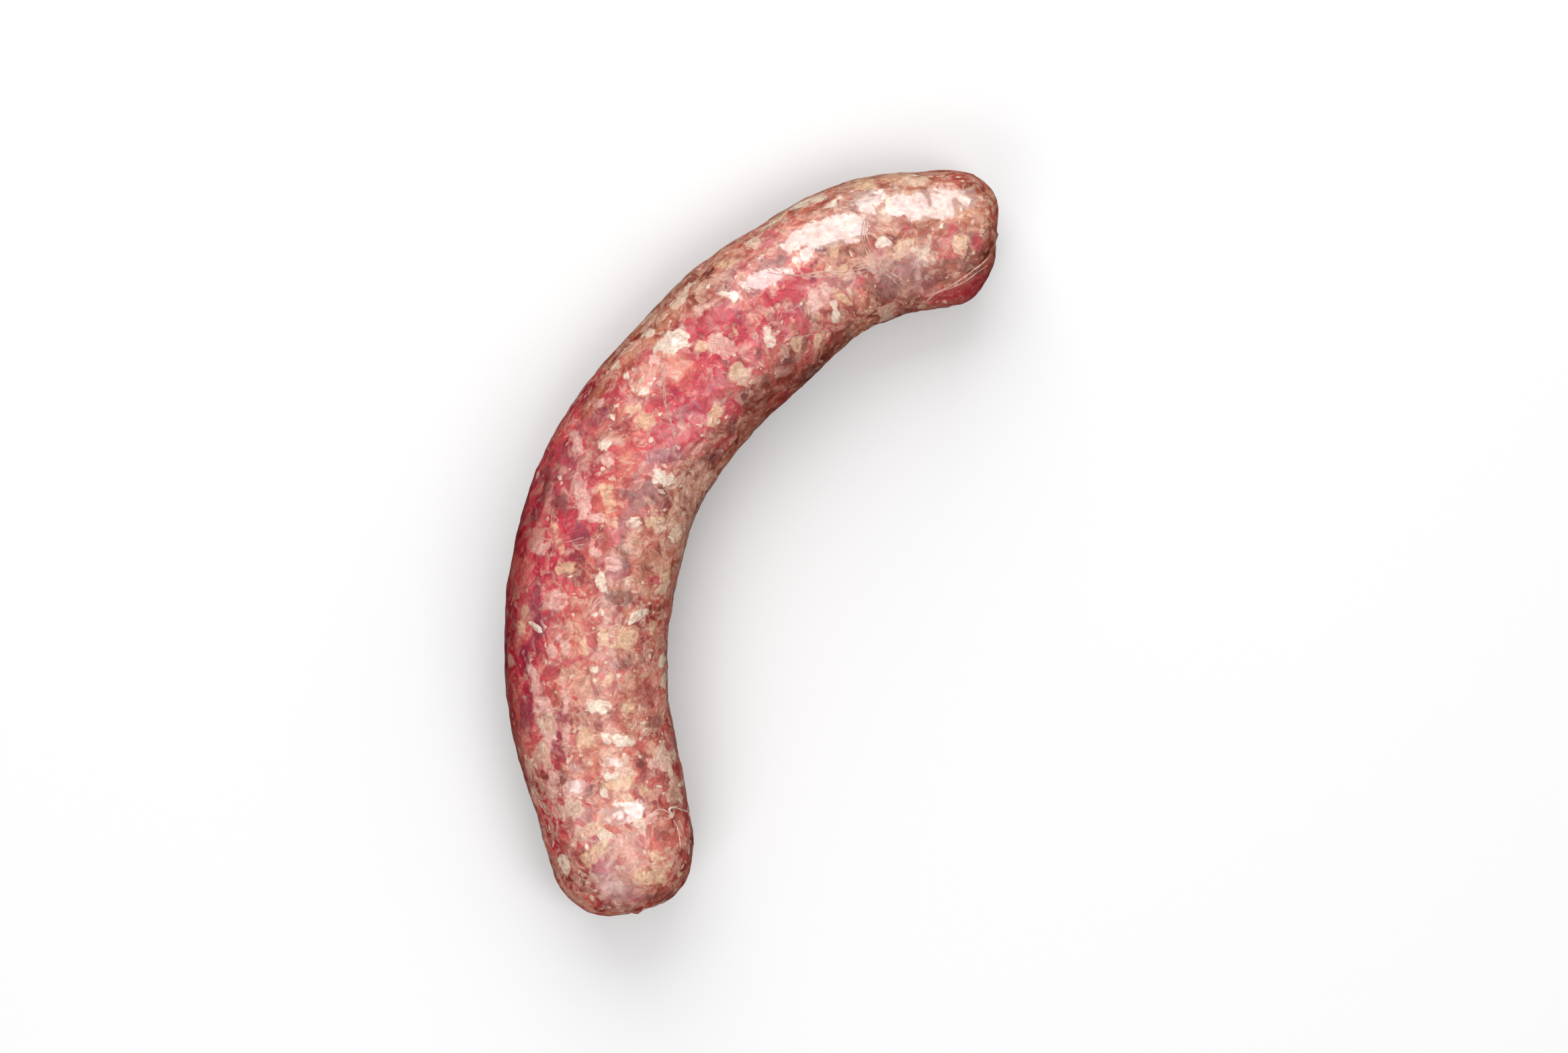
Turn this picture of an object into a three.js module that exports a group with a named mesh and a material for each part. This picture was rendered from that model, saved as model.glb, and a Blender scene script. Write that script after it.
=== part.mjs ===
// A raw, coarse-ground pork sausage: minced meat and back fat filled into a natural hog casing and
// pinched off at both ends. It lies on its side in a quarter-turn bend, and its own weight flattens
// it where it rests. It is one piece, so it is one solid. Millimetres, +Z up, with the origin on the
// resting surface under the middle of its box.
import * as THREE from "three";
import { ImprovedNoise } from "three/addons/math/ImprovedNoise.js";

// The centreline, seen from above: arcs that run into each other from the upper tip to the lower one.
const UPPER_TIP_HEADING = -177.4; // degrees from +X, the way the filling runs from the upper tip
const BENDS = [
  { stretch: "upper end", length: 16.5, turn: 3 },
  { stretch: "shoulder", length: 23.3, turn: 28.5 },
  { stretch: "easy upper bend", length: 44.4, turn: 18.4 },
  { stretch: "tight middle bend", length: 21, turn: 19.5 },
  { stretch: "long lower bend", length: 49, turn: 31.5 },
  { stretch: "straight lower end", length: 34, turn: 0 },
];
const LENGTH = BENDS.reduce((sum, bend) => sum + bend.length, 0);

// The girth: half the width of the straight casing, and where the filling swells or necks in.
const CASING_RADIUS = 14.2;
const SWELLS = [
  { where: "the belly", at: 113.7, spread: 71, by: 2.7 },
  { where: "the upper end", at: 8, spread: 13, by: -0.55 },
  { where: "the neck behind the upper end", at: 41, spread: 7, by: -0.25 },
  { where: "the shoulder below the neck", at: 56, spread: 10.5, by: 0.75 },
  { where: "the taper to the lower end", at: 187.7, spread: 22, by: -0.9 },
];

// The section: round above, squarer below where the filling settles, and flat where it rests.
const CROWN = 0.95; // height above the widest line, in half widths
const SETTLED = 0.86; // depth below the widest line, in half widths
const SETTLED_SQUARENESS = 2.5; // a superellipse's exponent, where 2 is an ellipse
const RESTING_DEPTH = 0.4; // how much of the underside the surface flattens

// The ends: a blunt cap, with the casing gathered into a small dimple round its twisted-off stub. The
// upper cap leans: its outer side reaches further than its inner side.
const UPPER_CAP = { length: 11.6, bluntness: 2.38 };
const LOWER_CAP = { length: 14.5, bluntness: 2.15 };
const UPPER_CAP_LEAN = 0.12; // how much further each mm to the outer side reaches, in mm
const DIMPLE = { depth: 1.6, radius: 3.6 };
const STUB = { height: 1.5, radius: 1.5 };
const GATHERS = { count: 7, depth: 0.55, reach: 9 }; // radial folds round the dimple

// The relief of the filling under the casing, from broad undulations to single lumps of mince.
const LUMPS = [
  { size: 17, height: 0.5 },
  { size: 7, height: 0.28 },
];

// The mesh: how far apart its rings are, and how many columns go round.
const RING_STEP = 2;
const CAP_RINGS = 11;
const COLUMNS = 44;

const noise = new ImprovedNoise();

// Half the width at a distance from the upper tip, without the caps.
function halfWidth(along) {
  return SWELLS.reduce(
    (width, swell) => width + swell.by * Math.exp(-(((along - swell.at) / swell.spread) ** 2)),
    CASING_RADIUS,
  );
}

// How far the cap's face stands behind its own tip, at a share of the radius from 0 to 1.
function capSetback(cap, share) {
  const dome = cap.length * (1 - (1 - share ** cap.bluntness) ** (1 / cap.bluntness));
  const fromAxis = share * CASING_RADIUS;
  const dimple = DIMPLE.depth * Math.exp(-((fromAxis / DIMPLE.radius) ** 2));
  const stub = STUB.height * Math.exp(-((fromAxis / STUB.radius) ** 4));
  return dome + dimple - stub;
}

// The straight filled casing, from axis to axis: x is the share of the half width, y the distance
// along. The rings of a cap are spaced evenly round its dome.
function straightProfile() {
  const upperCap = [];
  const lowerCap = [];
  for (let i = 0; i <= CAP_RINGS; i++) {
    const share = Math.sin((i / CAP_RINGS) * (Math.PI / 2));
    upperCap.push(new THREE.Vector2(share, capSetback(UPPER_CAP, share)));
    lowerCap.unshift(new THREE.Vector2(share, LENGTH - capSetback(LOWER_CAP, share)));
  }
  const bodyLength = LENGTH - UPPER_CAP.length - LOWER_CAP.length;
  const bodyRings = Math.round(bodyLength / RING_STEP);
  const body = [];
  for (let i = 1; i < bodyRings; i++) {
    body.push(new THREE.Vector2(1, UPPER_CAP.length + (i / bodyRings) * bodyLength));
  }
  return [...upperCap, ...body, ...lowerCap];
}

// A point of the centreline and the way it heads there, in radians.
function centrelineAt(along) {
  const at = new THREE.Vector2();
  let heading = THREE.MathUtils.degToRad(UPPER_TIP_HEADING);
  let left = along;
  for (const bend of BENDS) {
    const step = Math.min(left, bend.length);
    const turn = THREE.MathUtils.degToRad(bend.turn) * (step / bend.length);
    const middle = heading + turn / 2;
    const chord = Math.abs(turn) > 1e-9 ? (step * Math.sin(turn / 2)) / (turn / 2) : step;
    at.add(new THREE.Vector2(Math.cos(middle), Math.sin(middle)).multiplyScalar(chord));
    heading += turn;
    left -= step;
  }
  return { at, heading };
}

// How far the surface stands out at a place on the casing: the lumps of the filling, and the folds
// that the gathered casing makes round each tip.
function relief(along, angle, share) {
  const across = Math.cos(angle) * share * CASING_RADIUS;
  const up = Math.sin(angle) * share * CASING_RADIUS;
  const lumps = LUMPS.reduce(
    (sum, lump) => sum + lump.height * noise.noise(along / lump.size, across / lump.size, up / lump.size),
    0,
  );
  const fromTip = Math.min(along, LENGTH - along) + share * CASING_RADIUS - DIMPLE.radius;
  const gathered = Math.exp(-(((fromTip - GATHERS.reach / 2) / GATHERS.reach) ** 2) * 2);
  const phase = Math.sign(along - LENGTH / 2) + 0.7 * Math.sin(2 * angle);
  const fold = Math.max(0, Math.cos(GATHERS.count * angle + phase)) ** 2;
  return (lumps - GATHERS.depth * gathered * fold) * THREE.MathUtils.smoothstep(share, 0.15, 0.5);
}

// Bends the straight casing along the centreline and lets it settle on the surface.
function layDown(geometry) {
  const position = geometry.attributes.position;
  const straight = new THREE.Vector3();
  for (let i = 0; i < position.count; i++) {
    straight.fromBufferAttribute(position, i);
    const share = Math.hypot(straight.x, straight.z);
    const angle = share > 1e-6 ? Math.atan2(straight.z, straight.x) : 0;
    const lean = UPPER_CAP_LEAN * (1 - THREE.MathUtils.smoothstep(straight.y, 0, UPPER_CAP.length));
    const along = straight.y - lean * straight.x * CASING_RADIUS;
    const width = halfWidth(
      THREE.MathUtils.clamp(straight.y, UPPER_CAP.length, LENGTH - LOWER_CAP.length),
    );
    const sink = Math.min(0, Math.sin(angle));
    const squareness = 1 + (2 / SETTLED_SQUARENESS - 1) * sink * sink;
    const flank = Math.sign(Math.cos(angle)) * Math.abs(Math.cos(angle)) ** squareness;
    const rise = Math.sign(Math.sin(angle)) * Math.abs(Math.sin(angle)) ** squareness;
    const stand = relief(along, angle, share);
    const across = flank * (share * width + stand);
    const up = rise * (share * width + stand) * (rise > 0 ? CROWN : SETTLED);
    const axisHeight = width * SETTLED - RESTING_DEPTH;
    const { at, heading } = centrelineAt(along);
    position.setXYZ(
      i,
      at.x + Math.sin(heading) * across,
      at.y - Math.cos(heading) * across,
      Math.max(0, axisHeight + up),
    );
  }
}

// Puts the origin on the resting surface under the middle of the box.
function standOnOrigin(geometry) {
  geometry.computeBoundingBox();
  const centre = geometry.boundingBox.getCenter(new THREE.Vector3());
  geometry.translate(-centre.x, -centre.y, -geometry.boundingBox.min.z);
}

function filledCasing() {
  const geometry = new THREE.LatheGeometry(straightProfile(), COLUMNS);
  layDown(geometry);
  standOnOrigin(geometry);
  geometry.computeVertexNormals();
  return geometry;
}

const rawPork = new THREE.MeshStandardMaterial({ color: 0xc9887c, roughness: 0.35, metalness: 0 });

const sausage = new THREE.Mesh(filledCasing(), rawPork);
sausage.name = "sausage";

const part = new THREE.Group();
part.add(sausage);

export default part;
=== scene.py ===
import math

import bmesh
import bpy
import numpy as np
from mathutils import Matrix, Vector


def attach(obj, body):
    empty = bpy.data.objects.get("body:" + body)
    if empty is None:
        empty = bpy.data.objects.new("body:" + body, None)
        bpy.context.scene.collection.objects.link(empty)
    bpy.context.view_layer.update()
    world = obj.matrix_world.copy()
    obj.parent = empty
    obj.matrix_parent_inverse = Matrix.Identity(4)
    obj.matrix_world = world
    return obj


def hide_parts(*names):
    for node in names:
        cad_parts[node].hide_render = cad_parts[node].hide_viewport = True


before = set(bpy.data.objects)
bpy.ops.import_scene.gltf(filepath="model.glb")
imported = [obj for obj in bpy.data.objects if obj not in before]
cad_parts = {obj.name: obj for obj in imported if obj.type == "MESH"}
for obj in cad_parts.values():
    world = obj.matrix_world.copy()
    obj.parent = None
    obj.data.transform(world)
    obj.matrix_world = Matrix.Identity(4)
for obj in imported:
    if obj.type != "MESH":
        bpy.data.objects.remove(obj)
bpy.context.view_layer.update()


# The filled casing: a hog casing, a clear wet membrane, filled tight with coarse minced pork and
# back fat and pinched off at both ends. It lies in a quarter-turn bend and settles flat below.
# Rings are drawn along the bend, fitted to the solid, and rounded.
MM = 0.001
UPPER_TIP = (50.65, 63.12)
UPPER_TIP_HEADING = math.radians(-177.4)
BENDS = (  # the stretch, its length in mm, and its turn in degrees
    ("upper end", 16.5, 3),
    ("shoulder", 23.3, 28.5),
    ("easy upper bend", 44.4, 18.4),
    ("tight middle bend", 21, 19.5),
    ("long lower bend", 49, 31.5),
    ("straight lower end", 34, 0),
)
CASING_LENGTH = sum(length for _, length, _ in BENDS)
CASING_RADIUS = 14.2
SWELLS = (  # where the girth changes, its place along, its spread, and by how much
    ("belly", 113.7, 71, 2.7),
    ("upper end", 8, 13, -0.55),
    ("neck behind the upper end", 41, 7, -0.25),
    ("shoulder below the neck", 56, 10.5, 0.75),
    ("taper to the lower end", 187.7, 22, -0.9),
)
SETTLED = 0.86
RESTING_DEPTH = 0.4
UPPER_CAP_LENGTH, UPPER_CAP_BLUNTNESS = 11.6, 2.38
LOWER_CAP_LENGTH, LOWER_CAP_BLUNTNESS = 14.5, 2.15
DIMPLE_DEPTH, DIMPLE_RADIUS = 1.6, 3.6
STUB_HEIGHT, STUB_RADIUS = 1.5, 1.5
CAP_RINGS = 13
BODY_RINGS = 86
COLUMNS = 54


def centreline(along):
    """Where the middle of the casing lies, in mm, and the way the filling runs there."""
    x, y = UPPER_TIP
    heading = UPPER_TIP_HEADING
    left = along
    for _, length, turn in BENDS:
        step = min(left, length)
        turned = math.radians(turn) * step / length
        chord = step * (math.sin(turned / 2) / (turned / 2) if abs(turned) > 1e-9 else 1)
        x += math.cos(heading + turned / 2) * chord
        y += math.sin(heading + turned / 2) * chord
        heading += turned
        left -= step
    return x, y, heading


def half_width(along):
    """Half the width of the casing, in mm, without its caps."""
    kept = min(max(along, UPPER_CAP_LENGTH), CASING_LENGTH - LOWER_CAP_LENGTH)
    swell = sum(by * math.exp(-(((kept - at) / spread) ** 2)) for _, at, spread, by in SWELLS)
    return CASING_RADIUS + swell


def cap_setback(length, bluntness, share):
    """How far the face of a cap stands behind its tip, in mm, at a share of the half width."""
    dome = length * (1 - (1 - share**bluntness) ** (1 / bluntness))
    from_axis = share * CASING_RADIUS
    dimple = DIMPLE_DEPTH * math.exp(-((from_axis / DIMPLE_RADIUS) ** 2))
    stub = STUB_HEIGHT * math.exp(-((from_axis / STUB_RADIUS) ** 4))
    return dome + dimple - stub


def ring_stations():
    """The place along and the radius of every ring, from the upper tip to the lower one."""
    shares = [math.sin(max(i, 0.2) / CAP_RINGS * math.pi / 2) for i in range(CAP_RINGS + 1)]
    upper = [(cap_setback(UPPER_CAP_LENGTH, UPPER_CAP_BLUNTNESS, share), share) for share in shares]
    lower = [
        (CASING_LENGTH - cap_setback(LOWER_CAP_LENGTH, LOWER_CAP_BLUNTNESS, share), share)
        for share in reversed(shares)
    ]
    body_length = CASING_LENGTH - UPPER_CAP_LENGTH - LOWER_CAP_LENGTH
    body = [(UPPER_CAP_LENGTH + body_length * i / BODY_RINGS, 1) for i in range(1, BODY_RINGS)]
    return [(along, share * half_width(along)) for along, share in upper + body + lower]


def ring(along, radius):
    """A ring of the casing: its middle in metres, the way the filling runs there, and its radius."""
    x, y, heading = centreline(along)
    height = half_width(along) * SETTLED - RESTING_DEPTH
    return Vector((x * MM, y * MM, height * MM)), heading, radius * MM


def draw_tube(name, columns, rings, height=1.0):
    """Draws a tube through upright rings, as high as a share of its width, with both ends closed."""
    centre, heading, radius = rings[0]
    bpy.ops.object.select_all(action="DESELECT")
    bpy.ops.mesh.primitive_circle_add(
        vertices=columns,
        radius=radius,
        location=centre,
        rotation=(math.pi / 2, 0, heading - math.pi / 2),
    )
    tube = bpy.context.object
    tube.name = name
    bpy.ops.object.transform_apply(location=True, rotation=True, scale=True)
    bpy.ops.object.mode_set(mode="EDIT")
    bpy.ops.mesh.select_all(action="SELECT")
    bpy.ops.transform.resize(value=(1, 1, height), center_override=centre)
    for next_centre, next_heading, next_radius in rings[1:]:
        bpy.ops.mesh.extrude_region_move(TRANSFORM_OT_translate={"value": next_centre - centre})
        bpy.ops.transform.rotate(
            value=heading - next_heading, orient_axis="Z", center_override=next_centre
        )
        bpy.ops.transform.resize(value=[next_radius / radius] * 3, center_override=next_centre)
        centre, heading, radius = next_centre, next_heading, next_radius
    bpy.ops.mesh.merge(type="CENTER")
    shell = bmesh.from_edit_mesh(tube.data)
    for vertex in shell.verts:
        vertex.select = any(len(edge.link_faces) == 1 for edge in vertex.link_edges)
    shell.select_flush(True)
    bpy.ops.mesh.merge(type="CENTER")
    bpy.ops.mesh.select_all(action="SELECT")
    bpy.ops.mesh.normals_make_consistent(inside=False)
    bpy.ops.object.mode_set(mode="OBJECT")
    bpy.ops.object.shade_smooth()
    return tube


def finish_with(piece, kind, **settings):
    """Adds a modifier to a piece and applies it."""
    modifier = piece.modifiers.new(kind.title(), kind)
    for name, value in settings.items():
        setattr(modifier, name, value)
    bpy.context.view_layer.objects.active = piece
    bpy.ops.object.modifier_apply(modifier=modifier.name)


casing = draw_tube("filled_casing", COLUMNS, [ring(along, radius) for along, radius in ring_stations()])
finish_with(casing, "SHRINKWRAP", target=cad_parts["sausage"])
finish_with(casing, "SUBSURF", levels=2, render_levels=2)


# The places of the filling are told along the bend, as if the sausage were laid straight, because
# the grain, the zones and the bits of fat all follow the way it was filled.
STATION_STEP = 0.5


def lay_straight(points):
    """Turns points in metres to mm along the casing, across it to the outside, and above its axis."""
    flat = points / MM
    nearest = np.full(len(flat), np.inf)
    straight = np.zeros((len(flat), 3))
    for along in np.arange(0, CASING_LENGTH + STATION_STEP, STATION_STEP):
        x, y, heading = centreline(along)
        away_x = flat[:, 0] - x
        away_y = flat[:, 1] - y
        away = away_x**2 + away_y**2
        closer = away < nearest
        nearest[closer] = away[closer]
        straight[closer, 0] = (along + away_x * math.cos(heading) + away_y * math.sin(heading))[closer]
        straight[closer, 1] = (away_x * math.sin(heading) - away_y * math.cos(heading))[closer]
    middle = [half_width(along) * SETTLED - RESTING_DEPTH for along in straight[:, 0]]
    straight[:, 2] = flat[:, 2] - middle
    return straight


def vertices_of(piece):
    """The places of a piece's vertices, in metres."""
    places = np.zeros(len(piece.data.vertices) * 3)
    piece.data.vertices.foreach_get("co", places)
    return places.reshape(-1, 3)


def keep_on_mesh(piece, name, kind, values):
    """Stores a value for every vertex under a name that the materials read."""
    stored = piece.data.attributes.new(name, kind, "POINT")
    key = "vector" if kind == "FLOAT_VECTOR" else "value"
    stored.data.foreach_set(key, np.asarray(values, np.float32).ravel())


straight = lay_straight(vertices_of(casing))
keep_on_mesh(casing, "laid_straight", "FLOAT_VECTOR", straight)

# Zones of the filling, and of painted shade on the rims, as smooth spots: the place along, the place
# across as a share of the half width, the reach along in mm, the reach across in shares, and the strength.
ZONES = {
    "browned": (
        ("upper end, tan", 18, 0.03, 26, 1.1, 1.0),
        ("outer flank of the upper half", 68.9, 0.93, 34, 0.45, 0.65),
        ("inner flank of the upper half", 67.3, -0.85, 34, 0.4, 0.9),
        ("inner side of the tight bend", 105.2, -0.59, 20, 0.5, 0.6),
        ("inner side of the lower half", 147, -0.5, 30, 0.4, 0.45),
        ("lower end", 183, 0.02, 12, 1.0, 0.3),
        ("belly", 142, 0.15, 18, 0.3, 0.4),
    ),
    "reddened": (
        ("crimson spot by the upper veins", 44.0, 0.00, 5, 0.28, 1.1),
        ("red shoulder", 58.0, 0.08, 8, 0.35, 0.8),
        ("bright middle", 72, -0.1, 19, 0.5, 0.75),
        ("red triangle", 85.5, -0.15, 5, 0.25, 0.9),
        ("inner side by the creases", 80, -0.3, 9, 0.3, 0.7),
        ("inner side of the neck", 48, -0.25, 8, 0.3, 0.5),
        ("mauve outer flank", 102.0, 0.85, 17, 0.4, 0.9),
        ("outer side of the tight bend", 111.1, 0.4, 12, 0.4, 0.8),
        ("dark red spot", 122, 0.64, 6, 0.22, 1.0),
        ("lower outer side", 134, 0.8, 16, 0.4, 0.8),
        ("belly, tan", 145, 0.1, 16, 0.3, -0.3),
        ("underside of the upper tip", 5.2, -0.88, 8, 0.4, 0.9),
        ("outer flank of the upper end", 22, 0.65, 22, 0.5, -0.35),
        ("lower middle", 169, 0.35, 8, 0.4, 0.45),
        ("outer flank of the lower end", 168, 0.75, 14, 0.4, 0.55),
    ),
    "fatty": (
        ("upper end", 17.1, 0.45, 18, 0.6, 0.25),
        ("neck", 40.7, 0.33, 8, 0.5, 0.3),
        ("middle", 76, -0.25, 14, 0.45, -0.45),
        ("outer flank of the upper half", 38, 0.95, 34, 0.35, 0.7),
        ("outer flank of the upper end", 22, 0.85, 10, 0.35, 0.4),
        ("inner side of the tight bend", 98, -0.85, 14, 0.4, 1.0),
        ("crest of the tight bend", 108, -0.15, 14, 0.5, -0.55),
        ("crest of the belly", 126, 0.0, 8, 0.3, 0.4),
        ("outer side of the lower half", 135, 0.22, 14, 0.5, 0.15),
        ("inner rim of the lower half", 140, -0.9, 26, 0.3, 0.5),
        ("lower inner side", 151, -0.18, 16, 0.5, 0.2),
        ("lower outer side", 154, 0.3, 12, 0.4, 0.3),
        ("outer flank of the tight bend", 106.0, 0.85, 18, 0.35, -0.4),
        ("outer flank of the belly", 136, 0.65, 14, 0.35, -0.45),
        ("lower end", 179, -0.28, 8, 0.5, 0.3),
        ("outer flank of the lower end", 164, 0.75, 18, 0.4, 0.55),
    ),
    "hazy": (
        ("grey film on the upper end", 20.2, -0.54, 9, 0.45, 0.7),
        ("film on the tight bend", 98.0, 0.61, 14, 0.45, 0.5),
        ("film by the creases", 85.2, -0.75, 8, 0.3, 0.4),
        ("film on the lower end", 180, 0.12, 8, 0.3, 0.9),
        ("film over the belly", 127, 0.51, 8, 0.4, 0.35),
    ),
    # Painted shade: the rims and tips are darkened where the casing turns under, away from the lamps.
    "painted_rim_shade": (
        ("outer rim of the tight bend", 118, 1.0, 19, 0.28, 1.15),
        ("outer rim of the lower half", 142, 1.05, 14, 0.22, 0.9),
        ("inner rim of the upper half", 60, -1.0, 14, 0.32, 1.5),
        ("inner rim of the neck", 24, -1.0, 11, 0.25, 0.5),
        ("rim of the upper tip", 2, -0.7, 9, 0.6, 0.9),
        ("rim of the lower tip", 191, -0.5, 4, 0.6, 0.4),
        ("inner rim of the lower end", 182, -1.05, 9, 0.2, 0.9),
    ),
}
widths = np.array([half_width(along) for along in straight[:, 0]])
for zone, spots in ZONES.items():
    field = np.zeros(len(straight))
    for _, along, share, reach_along, reach_across, strength in spots:
        away = ((straight[:, 0] - along) / reach_along) ** 2
        away += ((straight[:, 1] / widths - share) / reach_across) ** 2
        field += strength * np.exp(-away)
    keep_on_mesh(casing, zone, "FLOAT", field)
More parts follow.
